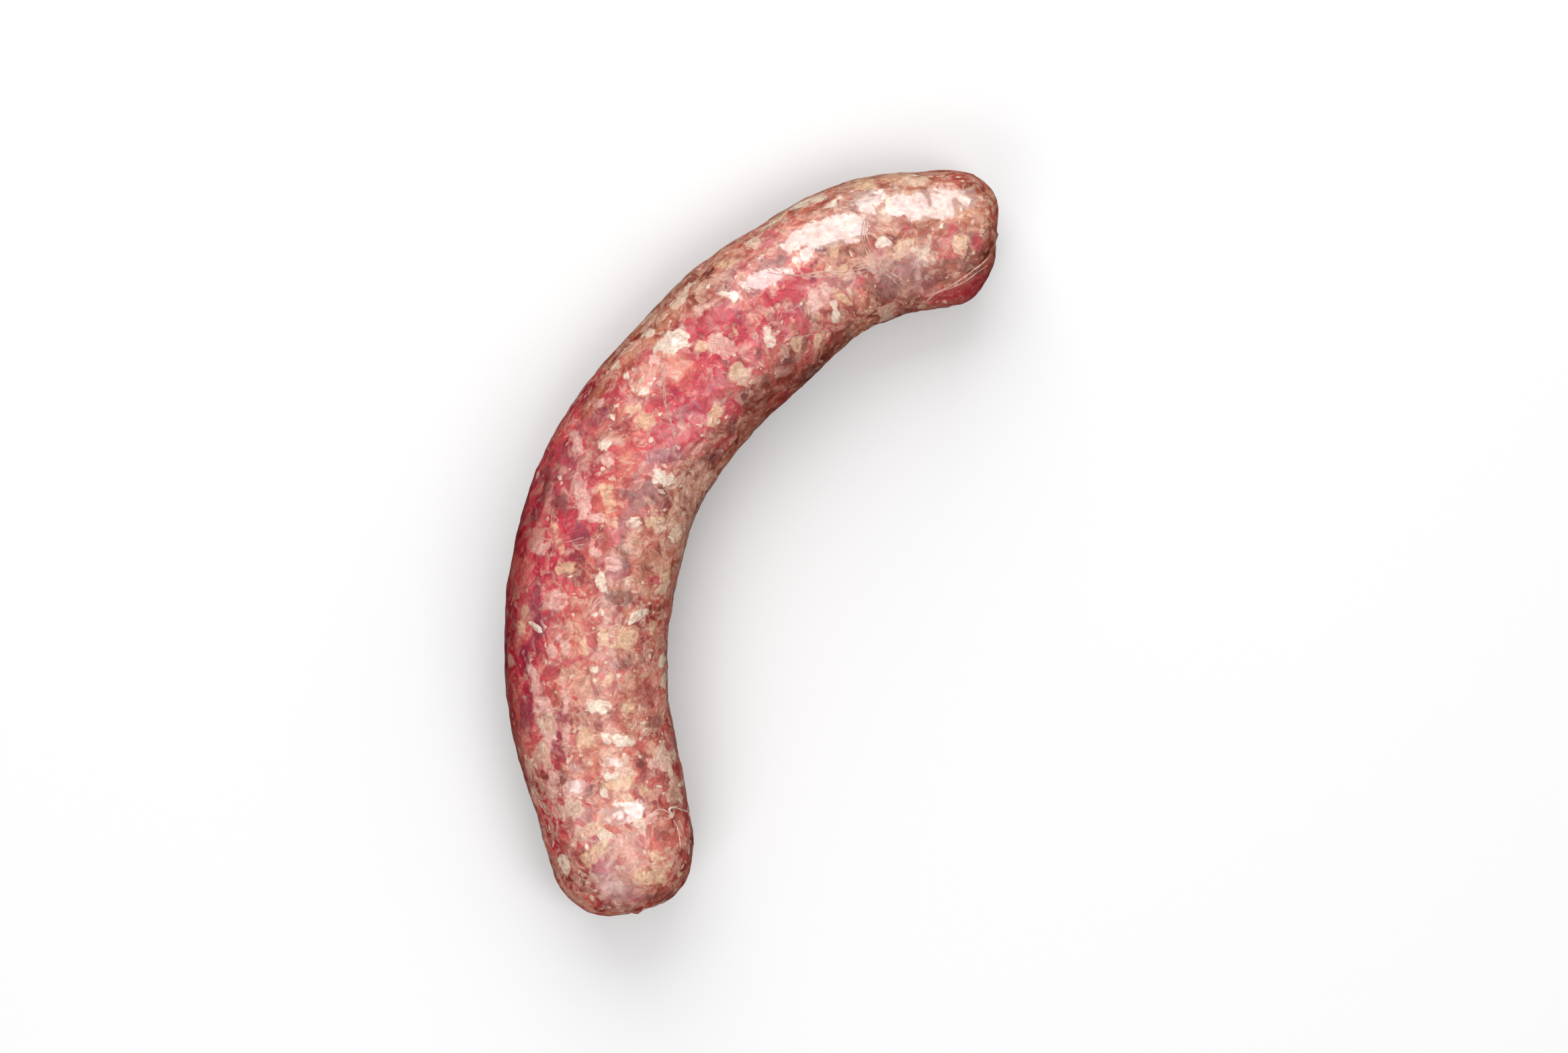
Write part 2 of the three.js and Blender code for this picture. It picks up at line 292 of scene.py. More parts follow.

# Pieces of fat and lean that stand out on the upper side, with the creases there, darkened with painted
# shade, and the wet patches, whitened with a painted highlight: the place along and across in mm, half the
# length, half the breadth, the turn from the way the filling runs in degrees, and how square the corners
# are. They fade out where the casing turns under.
BITS = {
    "white_fat": (
        (4.1, 5.4, 1, 0.3, -75, 2),
        (6.2, 1.7, 1.2, 0.3, -55, 2),
        (24.3, -0.2, 1.4, 1, 15, 3),
        (29.2, 11.7, 1.2, 0.5, 65, 2),
        (40.3, -8.7, 1.8, 1, -45, 4),
        (41.3, 4.4, 1, 0.7, -55, 2),
        (55.2, -4.6, 2.6, 1.2, -65, 2),
        (55.7, 6.6, 2.1, 1, 65, 2),
        (67.4, 4.6, 0.8, 0.5, 25, 2),
        (69.6, 7.9, 3.5, 2.2, 10, 2.2),
        (71.4, 12.7, 1.1, 0.8, 25, 2),
        (74.8, 3.5, 0.7, 0.4, 50, 2),
        (79.9, 5.4, 2.1, 1.2, 40, 2.5),
        (79.9, 10.3, 1.9, 0.8, -50, 2),
        (92.6, 5.8, 1.2, 1.1, 60, 2),
        (92.7, -7.5, 2.1, 1.7, 60, 3),
        (104.1, -6.3, 1.4, 1, 70, 2.5),
        (117.6, -2.3, 2.3, 1.1, -5, 3),
        (124.6, -10.2, 2.1, 1, 50, 1.5),
        (136.2, -2.7, 1.2, 0.7, 25, 2),
        (144, -2.4, 2.3, 1.6, -80, 3.5),
        (151.6, -5, 3.6, 1.2, -65, 2),
        (158.2, -1.3, 0.9, 0.9, -75, 4),
        (158.6, -3.2, 0.9, 0.8, 25, 4),
        (161.3, -0.2, 1, 0.8, 45, 1.3),
        (161.8, -2, 0.4, 0.4, -75, 2),
    ),
    "cream_fat": (
        (2.4, 3.9, 2.7, 0.5, -75, 2),
        (8.8, -2.3, 2.2, 1.9, -75, 4),
        (17.7, -13.6, 1.5, 0.7, -40, 2),
        (20.1, 13.2, 2.2, 1, 0, 2),
        (20.6, -1.9, 2.7, 1.2, -15, 2),
        (21.8, 8.7, 1.9, 0.8, -80, 2),
        (22.7, -3.4, 1, 0.8, 15, 3),
        (24.8, 13, 2.1, 1.6, 15, 2),
        (34, -2.1, 1.5, 1, -45, 2),
        (34, 2.1, 1.4, 1, -35, 2),
        (37.4, -7.1, 1.9, 1.2, 60, 2),
        (39.7, 13.7, 1.4, 0.7, -5, 2),
        (47.3, -11.1, 1.5, 1, -35, 2),
        (51.3, -9.1, 1.5, 1.2, -20, 2),
        (52.8, 12.8, 1.8, 1, 40, 2),
        (59.3, 0.8, 1.2, 1, 0, 2),
        (64.9, -5.5, 2.1, 1.5, -5, 3),
        (66.4, 3.1, 1.6, 1.4, 25, 2),
        (74.7, -8.1, 3.2, 1.4, -5, 2),
        (84.3, 5.2, 1.6, 1.1, 35, 2),
        (84.8, 1.4, 2.2, 1.8, 10, 2),
        (102.5, -9.4, 1.8, 1.6, 70, 3),
        (103, -0.3, 5.2, 1.1, -30, 3),
        (112.1, 7.5, 3.8, 0.7, -30, 3),
        (114.5, -14.9, 1.4, 1.2, 20, 2),
        (116.7, 4.7, 2.5, 1.4, 80, 2),
        (126.2, 12.3, 3.3, 0.8, 0, 2),
        (127.4, -13.8, 1.8, 0.8, -10, 2),
        (129.5, -4.1, 1.6, 1.2, 0, 3),
        (129.6, -8.7, 2.7, 1.8, 5, 4),
        (131.3, -6.2, 1, 0.8, 90, 3),
        (131.3, -0.4, 1.4, 0.7, -5, 2),
        (138.5, -5.1, 1.8, 1.2, 25, 3),
        (144.8, -8.7, 1.8, 1.4, 20, 2),
        (145, 9.7, 1, 0.7, -80, 2),
        (150.1, 1.2, 1.9, 1.6, 40, 3),
        (160.3, -3.4, 3.6, 1.9, -75, 3),
        (162.9, -3.9, 2.1, 1.1, -60, 2),
        (163.2, -7.9, 1.5, 1, 45, 2),
        (168, 3.7, 1.8, 1.5, 65, 2),
        (172.9, 4.9, 3.3, 1.4, 60, 3),
        (177.4, -7.7, 2.2, 1.1, -45, 2),
        (179.6, -3, 1.8, 1.4, 25, 2),
        (180.8, -6.2, 2.1, 1.6, -75, 4),
        (181.7, -10.6, 0.8, 0.7, -75, 2),
        (187, 2.8, 0.5, 0.5, -75, 2),
    ),
    "pink_fat": (
        (41.9, -4.3, 3.2, 2.0, -15, 2),
        (60.8, 8.5, 1.6, 0.8, 0, 2),
        (63.4, 0.3, 3.2, 2.3, 65, 2.5),
        (74.5, 8, 1.6, 1.1, 5, 2),
        (86.8, 11.4, 1.1, 0.8, 25, 2),
        (94.6, 11.1, 2.5, 1.2, -45, 2),
        (94.7, 4.1, 1.9, 1.1, -50, 2),
        (103.2, 5.6, 4.4, 1.5, -40, 3),
        (106.1, 1.8, 2.5, 1.2, 70, 2),
        (112.4, 0.1, 1.9, 1.2, -65, 2),
        (113.9, 10.7, 2.5, 1.1, 55, 2),
        (114, -4.2, 1.8, 1.5, 80, 3),
        (123.2, 5.8, 2.7, 1.9, 25, 3),
        (131.4, 3.8, 2.6, 1.2, -30, 1.7),
        (132.5, 6.1, 1.4, 1.1, 30, 3),
        (137.4, 10.1, 3.4, 1.2, -15, 2),
        (141.7, 3.8, 2.6, 1.1, 10, 2),
        (142.5, 8.4, 2.1, 1.8, -85, 4),
        (147.6, 8.1, 2.7, 0.8, 10, 2),
        (148.8, 4.6, 2.5, 0.8, 20, 2),
        (157.8, 9.7, 3, 1.4, 20, 2),
        (158.4, -11.4, 1.6, 1.1, -45, 1.4),
        (159.1, -13, 1.2, 1, 35, 2),
        (159.3, 5.5, 2.7, 2.2, 60, 2),
        (168.4, -8, 1.4, 1.1, 75, 2),
        (173.6, 0.8, 3.7, 1.1, 30, 2),
        (180.2, 3.3, 3, 1.8, 25, 2),
    ),
    "crimson_lean": (
        (5.2, -2.1, 2.2, 1.6, -85, 2),
        (9.7, -11.6, 5.2, 1.1, -20, 2),
        (10.4, 0.3, 2.1, 1.2, -65, 2),
        (20.2, 1.5, 2.1, 0.8, 0, 2),
        (32.2, -5.9, 2.7, 1.2, -55, 2),
        (42.9, 11.1, 2.1, 1.8, 5, 2),
        (44.6, -0.8, 3.3, 2.3, 5, 2),
        (47.2, -6.4, 2.7, 1.6, -50, 2),
        (50, 10, 1.2, 1.2, 40, 2),
        (57.6, -0.4, 1.9, 1.4, -20, 2),
        (61, 5.1, 3.3, 2.1, 15, 2),
        (65.9, 5.4, 2.2, 1.1, 0, 2),
        (70.8, -3.6, 2.7, 1.6, 35, 2),
        (71.1, -0.1, 1.2, 1.1, -15, 2),
        (75.1, 10, 1.9, 1.5, -10, 2),
        (85.1, -2.3, 2.6, 2.1, -5, 1.3),
        (89.3, 0.7, 2.1, 0.8, 35, 2),
        (91.6, 10.1, 1.8, 1.5, 0, 2),
        (108.6, -3.2, 2.2, 1.6, 45, 2),
        (115.8, -13, 1.4, 1.1, 80, 2),
        (120.2, 4.8, 1.5, 0.8, 10, 1.5),
        (134.6, 3.1, 3.6, 1.1, 85, 2),
        (135.4, 5.7, 1.6, 1.4, 30, 2),
    ),
    "brick_lean": (
        (143, -12.2, 2.5, 2.2, 15, 3),
        (160.1, -8.4, 1.6, 1.2, 45, 2),
        (161.1, -11.6, 1.6, 1.4, -75, 2),
        (162.1, -6.2, 1.2, 1, -55, 2),
        (165.2, 3.7, 1.6, 1, 35, 2),
        (166.7, 8.7, 1.5, 0.7, 25, 2),
        (170, 10.2, 1.2, 0.8, 45, 2),
        (172.6, -8.9, 2.3, 1.2, -40, 2),
        (173, 8.7, 1.5, 0.8, -15, 2),
    ),
    "purple_lean": (
        (38.8, 1.2, 2.3, 0.8, -55, 2),
        (56.9, 2.1, 1.9, 1.1, -40, 2),
        (88.7, 9.4, 1.9, 1.5, -5, 2),
        (109.8, 3.6, 2.7, 1.9, 5, 2),
        (124.8, 9.7, 4.7, 1.4, -10, 2.5),
        (128.9, 9.3, 1.9, 1.1, -45, 2),
        (133.8, 11.3, 3, 1.2, 0, 2),
        (144, 12.1, 3.6, 1.9, 0, 2),
        (145.5, 5.1, 1.9, 1.2, -40, 2),
        (149.5, 6.6, 1.6, 1.2, 30, 2),
    ),
    "dark_lean": (
        (26, -8.6, 3.3, 2.5, -15, 2),
        (42.1, -13.4, 3.6, 1.6, -5, 2),
        (43.4, 5.6, 1.6, 1.1, 5, 2),
        (53.2, -15.6, 3.6, 1.4, 0, 2),
        (59, -6.1, 1.9, 0.8, -30, 2),
        (73.8, -12.1, 2.7, 1.5, -20, 2),
        (99.1, -2.5, 2.1, 1.2, 75, 2),
        (102.3, 13.4, 4.1, 1.6, -5, 2),
        (105.4, 9.5, 1.9, 1.6, -10, 2),
        (113.7, -6.6, 1.4, 1.2, 80, 2),
        (120.9, -6.8, 2.7, 1.8, -90, 2),
        (122.4, -14.8, 1.2, 1, 85, 2),
        (135.4, -8.1, 1.9, 1.5, 70, 2),
        (149.5, -12.9, 2.1, 1.6, 20, 2),
        (156.6, 7.3, 2.2, 1.1, 15, 2),
        (159.6, -0.7, 1.1, 1.1, -75, 2),
        (160.8, 3.1, 1.4, 1, 45, 2),
        (185.1, -5.9, 3.6, 1.6, 90, 2),
    ),
    "mauve_lean": (
        (19.3, -5.7, 3.3, 1.6, -5, 2),
        (88.9, -5.3, 4.1, 1.6, 50, 2),
        (105.1, 8.6, 2.2, 1.2, -10, 2),
        (146, 6.1, 2.5, 1.4, 20, 2),
        (154.9, 4.5, 1.9, 1.2, 85, 2),
        (155.4, -15.1, 1.9, 1.4, 45, 2),
        (158, 3.1, 1.4, 1.1, 45, 2),
        (182.7, -0.1, 3.6, 1.9, -60, 2),
    ),
    # The creases are pressed into the casing and darkened with painted shade.
    "crease_with_painted_shade": (
        (79.3, -13.4, 4.2, 0.45, 0, 2),
        (77.4, -15.0, 4.0, 0.4, 0, 2),
        (84.2, -12.0, 2.0, 0.5, 10, 2),
        (81.5, -9.6, 2.4, 0.3, 5, 2),
    ),
    # The wet patches are glossy, and their colour is whitened with a painted highlight.
    "glossy_patch_with_painted_highlight": (
        (18.8, 6.4, 2.3, 3.7, -80, 3),
        (13.6, 6.2, 5.2, 3.4, 0, 3.5),
        (7.4, 6.7, 2.9, 2.3, 0, 4),
        (24.8, 9.6, 3.0, 1.9, 15, 3),
        (25.2, 7.2, 1.8, 1.1, 35, 2),
        (32.2, 5.4, 6.0, 3.3, 15, 3),
        (38.8, 7.7, 3.6, 1.8, 0, 3),
        (38.8, 4.1, 2.2, 1.4, 5, 2),
        (48.7, 5.1, 4.2, 1.9, 20, 2.5),
        (44.5, 3.8, 3.0, 0.7, 35, 2),
        (166.4, -3.2, 4.0, 2.3, 90, 3),
        (165.0, 0.6, 1.9, 0.7, -85, 2),
        (156.0, -3.1, 1.9, 1.2, -75, 3),
        (158.9, 5.2, 1.5, 1.4, -75, 2),
        (69.6, 7.9, 1.8, 1.0, 10, 2),
        (54.8, 6.0, 1.6, 0.8, 60, 2),
        (24.3, -0.2, 1.1, 0.8, 15, 2),
    ),
}
FADE_BELOW_AXIS = 3.0
FAR_OUTSIDE = -9.0
below = np.minimum(straight[:, 2] + FADE_BELOW_AXIS, 0.0)
for kind, bits in BITS.items():
    depth = np.full(len(straight), FAR_OUTSIDE)
    for along, across, half_length, half_breadth, turn, corners in bits:
        turned = math.radians(turn)
        off_along = straight[:, 0] - along
        off_across = straight[:, 1] - across
        lengthwise = (off_along * math.cos(turned) + off_across * math.sin(turned)) / half_length
        breadthwise = (off_across * math.cos(turned) - off_along * math.sin(turned)) / half_breadth
        away = (np.abs(lengthwise) ** corners + np.abs(breadthwise) ** corners) ** (1 / corners)
        depth = np.maximum(depth, (1 - away) * half_breadth)
    keep_on_mesh(casing, kind, "FLOAT", depth + below)


class Flow:
    """One socket of a node tree. Sums with it add Math nodes, or Vector Math nodes for vectors."""

    def __init__(self, tree, socket=None):
        self.tree = tree
        self.socket = socket

    def node(self, kind, inputs, output=0, stops=None, **settings):
        made = self.tree.nodes.new(kind)
        for name, value in settings.items():
            setattr(made, name, value)
        if stops:
            ramp = made.color_ramp
            while len(ramp.elements) < len(stops):
                ramp.elements.new(0.5)
            for element, (place, colour) in zip(ramp.elements, stops):
                element.position = place
                element.color = colour
        for name, value in inputs.items():
            if isinstance(value, Flow):
                self.tree.links.new(value.socket, made.inputs[name])
            else:
                made.inputs[name].default_value = value
        return Flow(self.tree, made.outputs[output])

    def other(self, output):
        """Another output of the node that this socket belongs to."""
        return Flow(self.tree, self.socket.node.outputs[output])

    def maths(self, operation, first, second):
        flows = [value for value in (first, second) if isinstance(value, Flow)]
        plain = all(flow.socket.type == "VALUE" for flow in flows)
        if plain and not isinstance(first, tuple) and not isinstance(second, tuple):
            return self.node("ShaderNodeMath", {0: first, 1: second}, operation=operation)
        both = [(value,) * 3 if isinstance(value, (int, float)) else value for value in (first, second)]
        return self.node("ShaderNodeVectorMath", {0: both[0], 1: both[1]}, operation=operation)

    def __add__(self, other):
        return self.maths("ADD", self, other)

    def __radd__(self, other):
        return self.maths("ADD", other, self)

    def __sub__(self, other):
        return self.maths("SUBTRACT", self, other)

    def __rsub__(self, other):
        return self.maths("SUBTRACT", other, self)

    def __mul__(self, other):
        return self.maths("MULTIPLY", self, other)

    def __rmul__(self, other):
        return self.maths("MULTIPLY", other, self)

    def part(self, name):
        """Red, Green or Blue of a colour, or X, Y or Z of a vector."""
        return self.node("ShaderNodeSeparateXYZ", {0: self}, output="XYZ"["XYZRGB".index(name) % 3])

    def dot(self, other):
        return self.node(
            "ShaderNodeVectorMath", {0: self, 1: other}, output="Value", operation="DOT_PRODUCT"
        )

    def step(self, low, high):
        """Rises smoothly from 0 at low to 1 at high."""
        return self.node(
            "ShaderNodeMapRange",
            {"Value": self, "From Min": low, "From Max": high},
            interpolation_type="SMOOTHSTEP",
        )

    def ramp(self, *stops):
        return self.node("ShaderNodeValToRGB", {"Fac": self}, stops=stops)

    def blend(self, first, second):
        """A colour from first, where this is 0, to second, where it is 1."""
        return self.node("ShaderNodeMix", {0: self, 6: first, 7: second}, output=2, data_type="RGBA")

    def noise(self, size, detail=2.0, output="Fac", **settings):
        """Cloudy noise with features about size mm across, from 0 to 1."""
        return self.node(
            "ShaderNodeTexNoise", {"Vector": self, "Scale": 1 / size, "Detail": detail}, output, **settings
        )

    def cells(self, size, output, **settings):
        """Cells about size mm across."""
        return self.node(
            "ShaderNodeTexVoronoi", {"Vector": self, "Scale": 1 / size}, output, **settings
        )

    def soft_cells(self, size, softness):
        """The shades of cells about size mm across, which run into each other at their edges."""
        inputs = {"Vector": self, "Scale": 1 / size, "Smoothness": softness}
        return self.node("ShaderNodeTexVoronoi", inputs, "Color", feature="SMOOTH_F1")


def colour(red, green, blue):
    """A colour as seen, from 0 to 255, as the light it gives back."""
    seen = [value / 255 for value in (red, green, blue)]
    return tuple(v / 12.92 if v < 0.04045 else ((v + 0.055) / 1.055) ** 2.4 for v in seen) + (1.0,)


def torn(place):
    """The straight places, pushed about so that the edges of chunks are torn and not smooth."""
    broad = place.noise(4.0, 1.0, "Color") - 0.5
    fine = place.noise(1.2, 1.0, "Color") - 0.5
    return place + broad * 3.2 + fine * 0.55


def fibres_of(place, chunk, size, stretch):
    """Noise drawn out into fibres, which run a way of its own in each chunk."""
    lean = chunk - 0.5
    way = lean.node("ShaderNodeVectorMath", {0: lean}, operation="NORMALIZE")
    within = place - chunk.other("Position")
    drawn = within + way * (way.dot(within) * (1 / stretch - 1))
    return (drawn + chunk * 60.0).noise(size, 2.0)


FAT = (  # the loose lumps of fat: size in mm, how common, how dense, their stretch and their outline
    (5.0, 0.2, 0.85, (0.85, 1.15, 1.0), "EUCLIDEAN"),
    (3.0, 0.28, 0.85, (1.15, 0.85, 1.0), "MANHATTAN"),
    (1.6, 0.34, 0.85, (1.0, 1.0, 1.0), "MANHATTAN"),
)
BIT_COLOURS = {  # the placed pieces, lowest first: darkest, lightest, how dense, how soft at the edge
    "mauve_lean": ((148, 72, 84), (204, 126, 132), 0.5, 0.6),
    "dark_lean": ((84, 28, 26), (148, 70, 60), 0.65, 0.5),
    "brick_lean": ((138, 44, 44), (200, 96, 86), 0.7, 0.5),
    "crimson_lean": ((174, 24, 50), (222, 84, 96), 0.8, 0.5),
    "purple_lean": ((116, 14, 48), (178, 52, 84), 0.8, 0.5),
    "pink_fat": ((226, 152, 144), (252, 214, 204), 0.82, 0.35),
    "cream_fat": ((222, 162, 130), (250, 222, 186), 0.78, 0.3),
    "white_fat": ((236, 198, 180), (254, 240, 226), 0.95, 0.25),
}


def lump(place, size, chance, outline):
    """Loose lumps of one size: how far inside one a place is, from 0 to 1, and the lump's own shade."""
    moved = place + size * 7.0
    shade = moved.cells(size, "Color", distance=outline)
    reach = shade.other("Distance")
    radius = shade.part("G") * 0.25 + moved.noise(size * 0.35, 1.0) * 0.6 - 0.02
    inside = (radius - reach).step(-0.07, 0.1)
    there = (shade.part("R") + chance).step(0.98, 1.02)
    return inside * there, shade


def mince_material():
    material = bpy.data.materials.new("wet_mince_in_casing")
    material.use_nodes = True
    tree = material.node_tree
    tree.nodes.clear()
    start = Flow(tree)

    def read(name, output):
        return start.node("ShaderNodeAttribute", {}, output=output, attribute_name=name)

    place = read("laid_straight", "Vector")
    wander = place.noise(6.0, 3.0) - 0.5
    zone = {name: read(name, "Fac") + wander * 0.6 for name in ZONES}
    loose = torn(place)

    muscle = (loose * (0.8, 1.0, 1.0)).soft_cells(4.6, 0.25)
    clump = (loose + 160.0).cells(3.6, "Color")
    strand = (loose + 40.0).cells(2.2, "Color")
    fibres = fibres_of(loose + 40.0, strand, 0.7, 5.0)
    cloud = (loose + 80.0).noise(3.4, 2.0)
    tone = muscle.part("R") * 0.42 + strand.part("R") * 0.12 + fibres * 0.16 + cloud * 0.8 - 0.25
    plain = tone.ramp(
        (0.05, colour(116, 30, 32)),
        (0.3, colour(170, 60, 58)),
        (0.5, colour(204, 90, 82)),
        (0.7, colour(222, 120, 106)),
        (0.95, colour(238, 166, 146)),
    )
    red = tone.ramp(
        (0.05, colour(120, 8, 38)),
        (0.3, colour(176, 26, 56)),
        (0.5, colour(206, 50, 74)),
        (0.7, colour(218, 84, 92)),
        (0.95, colour(234, 142, 134)),
    )
    brown = tone.ramp(
        (0.05, colour(98, 34, 28)),
        (0.3, colour(148, 68, 50)),
        (0.5, colour(178, 97, 73)),
        (0.7, colour(200, 126, 98)),
        (0.95, colour(222, 166, 132)),
    )
    reddening = (zone["reddened"] + (muscle.part("B") - 0.5) * 0.9).step(0.1, 0.85)
    browning = (zone["browned"] + (muscle.part("G") - 0.5) * 0.6).step(0.1, 0.9)
    skin = browning.blend(plain, brown)
    skin = reddening.blend(skin, red)

    smears = fibres_of(loose + 160.0, clump, 2.6, 2.2)
    threads = fibres_of(loose + 40.0, strand, 1.2, 3.0)
    fatty = zone["fatty"]
    smeared = (smears + fatty * 0.12).step(0.47, 0.66)
    threaded = (threads + fatty * 0.08).step(0.5, 0.7)
    pale = fibres.blend(colour(216, 156, 138), colour(242, 204, 182))
    skin = (smeared * 0.6).blend(skin, pale)
    skin = (threaded * 0.45).blend(skin, pale)
    bulge = smeared * 0.4
    for size, chance, density, stretch, outline in FAT:
        inside, shade = lump(loose * stretch, size, fatty * 0.5 + chance, outline)
        fat_tone = shade.part("B") * 0.8 + fibres * 0.35 - 0.1
        fat = fat_tone.ramp(
            (0.1, colour(214, 148, 132)),
            (0.4, colour(230, 182, 160)),
            (0.65, colour(242, 210, 188)),
            (0.9, colour(252, 236, 218)),
        )
        skin = (inside * density * (shade.part("B") * 0.5 + 0.5)).blend(skin, fat)
        bulge = bulge + inside * 0.5

    shards = place.cells(2.0, "Distance", distance="MANHATTAN")
    ragged = (place.noise(2.6, 2.0) - 0.5) * 2.6 + (shards - 0.8) * 1.1
    veiled = (loose + 120.0).noise(1.6, 2.0)
    for kind, (darkest, lightest, density, soft) in BIT_COLOURS.items():
        inside = (read(kind, "Fac") + ragged * (0.5 + soft)).step(0.1 - soft, 0.1 + soft)
        shade = (fibres * 0.6 + veiled * 1.2 - 0.4).blend(colour(*darkest), colour(*lightest))
        skin = (inside * density * veiled.step(0.1, 0.5)).blend(skin, shade)
        if "fat" in kind:
            bulge = bulge + inside * 0.8
    # Painted shade: the rims and tips are darkened and reddened where the casing turns under.
    skin = (zone["painted_rim_shade"].step(0.1, 0.9) * 0.68).blend(skin, skin * (0.5, 0.24, 0.27))
    # Painted shade in the creases: the colour is darker where they are pressed in.
    skin = (read("crease_with_painted_shade", "Fac") + ragged * 0.2).step(-0.5, 0.3).blend(skin, skin * (0.66, 0.5, 0.48))
    grain = loose.noise(0.6, 2.0) * 0.9 + 0.57
    skin = skin * (fibres * 0.85 + 0.585) * grain * (1.0, 0.98, 0.935)

    film = place.noise(1.6, 4.0) * 0.8 + (place * (2.4, 0.5, 0.5)).noise(0.9, 1.0) * 0.6 - 0.7
    haze = (zone["hazy"] + film).step(0.15, 0.8) * 0.4
    skin = haze.blend(skin, colour(192, 146, 142))

    streaks = ((place * (1.6, 0.6, 0.6)).noise(1.2, 4.0) - 0.5) * 2.6
    wet_and_painted_highlight = (read("glossy_patch_with_painted_highlight", "Fac") + streaks).step(-0.05, 0.35)
    wrinkles = (place * (1.0, 0.35, 0.35)).noise(0.7, 3.0)
    height = (bulge + fibres * 0.6 + wrinkles * 0.6) * (1.0 - wet_and_painted_highlight * 0.5)
    bump = start.node("ShaderNodeBump", {"Height": height, "Strength": 0.55, "Distance": 0.12 * MM})
    # Painted highlight: the base colour of the wet patches is whitened.
    skin = (wet_and_painted_highlight * 0.3).blend(skin, colour(242, 216, 204))
    pooled = wet_and_painted_highlight * (place.noise(1.1, 3.0).step(0.36, 0.6) * 0.5 + 0.38)
    gloss = place.noise(2.2, 3.0) * 0.2 + 0.24 - wet_and_painted_highlight * 0.14 + haze * 0.1

    surface = start.node(
        "ShaderNodeBsdfPrincipled",
        {
            "Base Color": skin,
            "Roughness": gloss,
            "Normal": bump,
            "IOR": 1.5,
            "Specular IOR Level": 0.7,
            "Subsurface Weight": 0.4,
            "Subsurface Radius": (1.0, 0.4, 0.3),
            "Subsurface Scale": 0.8 * MM,
            "Coat Weight": pooled + 0.12,
            "Coat Roughness": 0.16,
            "Coat IOR": 2.6,
        },
    )
    out = tree.nodes.new("ShaderNodeOutputMaterial")
    tree.links.new(surface.socket, out.inputs["Surface"])
    return material


def raise_chunks(piece):
    """Lets the clumps of mince press out against the casing, but not below the resting surface."""
    group = bpy.data.node_groups.new("chunks_under_casing", "GeometryNodeTree")
    group.interface.new_socket("Mesh", in_out="INPUT", socket_type="NodeSocketGeometry")
    group.interface.new_socket("Mesh", in_out="OUTPUT", socket_type="NodeSocketGeometry")
    start = Flow(group)
    mesh = start.node("NodeGroupInput", {})
    place = start.node(
        "GeometryNodeInputNamedAttribute", {"Name": "laid_straight"}, data_type="FLOAT_VECTOR"
    )
    loose = torn(place)

    def pressed(name):
        depth = start.node("GeometryNodeInputNamedAttribute", {"Name": name}, data_type="FLOAT")
        return depth.step(-0.4, 0.5)

    height = loose.noise(5.5, 1.0) * 0.5 + loose.noise(2.4, 1.0) * 0.5 - 0.5
    height = height + pressed("white_fat") * 0.12 - pressed("crease_with_painted_shade") * 0.45
    outward = start.node("GeometryNodeInputNormal", {})
    pressed_out = start.node("GeometryNodeInputPosition", {}) + outward * (height * MM)
    above_ground = pressed_out.maths("MAXIMUM", pressed_out, (-1.0, -1.0, 0.0))
    raised = start.node("GeometryNodeSetPosition", {"Geometry": mesh, "Position": above_ground})
    result = group.nodes.new("NodeGroupOutput")
    group.links.new(raised.socket, result.inputs[0])
    modifier = piece.modifiers.new("chunks", "NODES")
    modifier.node_group = group
    bpy.context.view_layer.objects.active = piece
    bpy.ops.object.modifier_apply(modifier=modifier.name)


raise_chunks(casing)
casing.data.materials.clear()
casing.data.materials.append(mince_material())
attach(casing, "root")
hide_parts("sausage")


